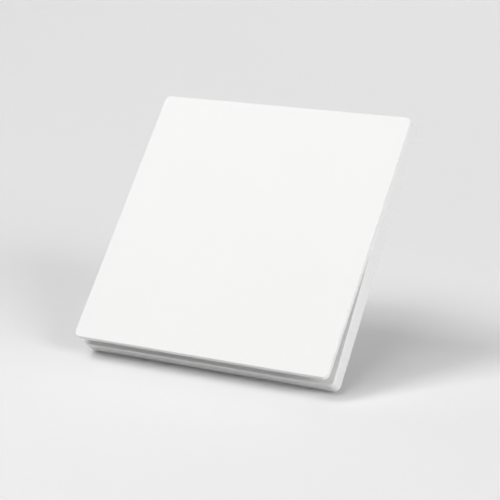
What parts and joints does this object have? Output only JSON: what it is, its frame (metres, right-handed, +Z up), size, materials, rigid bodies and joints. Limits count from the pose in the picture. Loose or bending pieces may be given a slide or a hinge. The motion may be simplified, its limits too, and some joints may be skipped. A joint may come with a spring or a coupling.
{
  "type": "wireless wall switch",
  "caption": "Flat square wireless wall switch: a full-size white rocker plate that tilts about mid-height over a shallow base, with a small energy-harvesting mechanism inside",
  "frame": {"origin": "centre of the back face, on the wall", "axes": "+Z up, +X right seen from the room, +Y into the wall, so the rocker faces -Y"},
  "size_m": [0.086, 0.0107, 0.0862],
  "materials": {
    "rocker_white": "satin, fine moulded grain",
    "base_white": "satin, fine moulded grain",
    "cover_grey": "satin",
    "zinc_steel": "zinc plated",
    "foam_tape": "white foam tape",
    "silicone": "soft, dull",
    "spring_steel": "rolled strip",
    "lever_plastic": "filled nylon",
    "nickel": "nickel plated",
    "soft_iron": "stamped",
    "brass_rod": "turned",
    "bobbin_plastic": "glass-filled",
    "copper_wire": "enamelled",
    "tinned_pin": "tinned",
    "board_green": "solder mask",
    "chip_black": "moulded",
    "capacitor_tan": "moulded",
    "ceramic_tan": "fired"
  },
  "bodies": {
    "base": {"base_frame": "base_white", "inner_cover": "cover_grey", "cover_screws": "zinc_steel", "adhesive_pads": "foam_tape", "rubber_bumpers": "silicone", "return_springs": "spring_steel", "pivot_rod": "brass_rod", "iron_core": "soft_iron", "coil_bobbin": "bobbin_plastic", "coil_winding": "copper_wire", "coil_terminals": "tinned_pin", "circuit_board": "board_green", "radio_chip": "chip_black", "crystal": "tinned_pin", "rectifier": "chip_black", "storage_capacitors": "capacitor_tan", "chip_capacitors": "ceramic_tan", "inductor": "chip_black", "antenna": "tinned_pin"},
    "rocker": {"rocker": "rocker_white"},
    "lever": {"press_lever": "lever_plastic"},
    "armature": {"magnet": "nickel", "front_pole_plate": "soft_iron", "rear_pole_plate": "soft_iron", "magnet_holder": "lever_plastic", "leaf_spring": "spring_steel"}
  },
  "joints": [
    {"name": "rocker_pivot", "type": "hinge", "parent": "base", "child": "rocker", "pos_m": [0, -0.0042, 0], "axis": [1, 0, 0], "range_deg": [0, 5], "stiffness_Nm_per_rad": 0.6, "springref_deg": -5.16, "deforming": ["return_springs"]},
    {"name": "lever_pivot", "type": "hinge", "parent": "base", "child": "lever", "pos_m": [0, -0.0032, 0.003], "axis": [1, 0, 0], "range_deg": [0, 4.17]},
    {"name": "armature_pivot", "type": "hinge", "parent": "base", "child": "armature", "pos_m": [0, -0.0031, -0.004], "axis": [1, 0, 0], "range_deg": [0, 6.82]}
  ],
  "couplings": [
    {"joint": "lever_pivot", "follows": "rocker_pivot", "ratio": 0.83333},
    {"joint": "armature_pivot", "follows": "rocker_pivot", "ratio": 1.3636}
  ]
}
